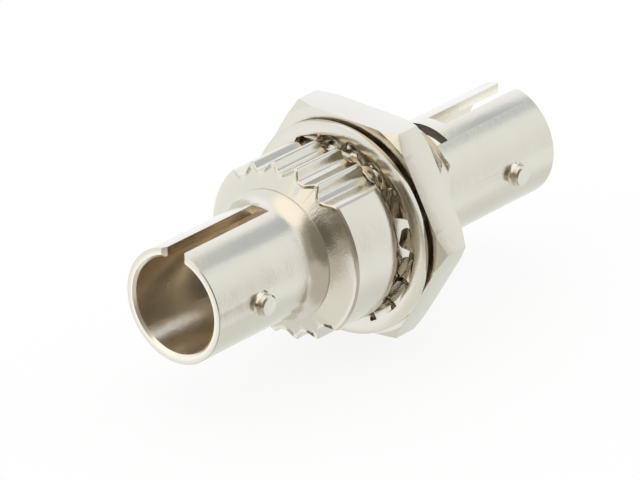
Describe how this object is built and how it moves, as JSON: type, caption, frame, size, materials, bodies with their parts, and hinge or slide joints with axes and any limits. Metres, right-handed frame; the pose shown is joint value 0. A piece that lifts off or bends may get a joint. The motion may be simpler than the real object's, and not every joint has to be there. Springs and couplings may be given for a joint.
{
  "type": "fibre optic adapter",
  "caption": "Bulkhead adapter that joins bayonet fibre plugs end to end: slotted barrels with lugs, a grooved grip flange, and a threaded boss with a lock washer and a hex nut.",
  "frame": {"origin": "on the bore axis, in the plane of the panel seat on the back of the grip flange", "axes": "+X along the bore from the near port to the far port, through the panel; +Z towards the key slots"},
  "size_m": [0.03, 0.015, 0.0132],
  "materials": {
    "plated_casting": "satin nickel plate on a casting",
    "holder": "matte moulded",
    "ceramic": "ground white ceramic",
    "plated_spring": "nickel plate on spring steel",
    "plated_nut": "nickel plate on brass"
  },
  "bodies": {
    "adapter": {"body": "plated_casting", "front_holder": "holder", "rear_holder": "holder", "split_sleeve": "ceramic"},
    "washer": {"lock_washer": "plated_spring"},
    "nut": {"hex_nut": "plated_nut"}
  },
  "joints": [
    {"name": "washer_travel", "type": "slide", "parent": "adapter", "child": "washer", "axis": [1, 0, 0], "range_m": [-0.00045, 0.0024]},
    {"name": "nut_turn", "type": "hinge", "parent": "washer", "child": "nut", "pos_m": [0.0024, 0, 0], "axis": [1, 0, 0], "range_deg": [-206, 1095]}
  ],
  "couplings": [
    {"joint": "nut_turn", "follows": "washer_travel", "rad_per_m": 7953.4}
  ]
}
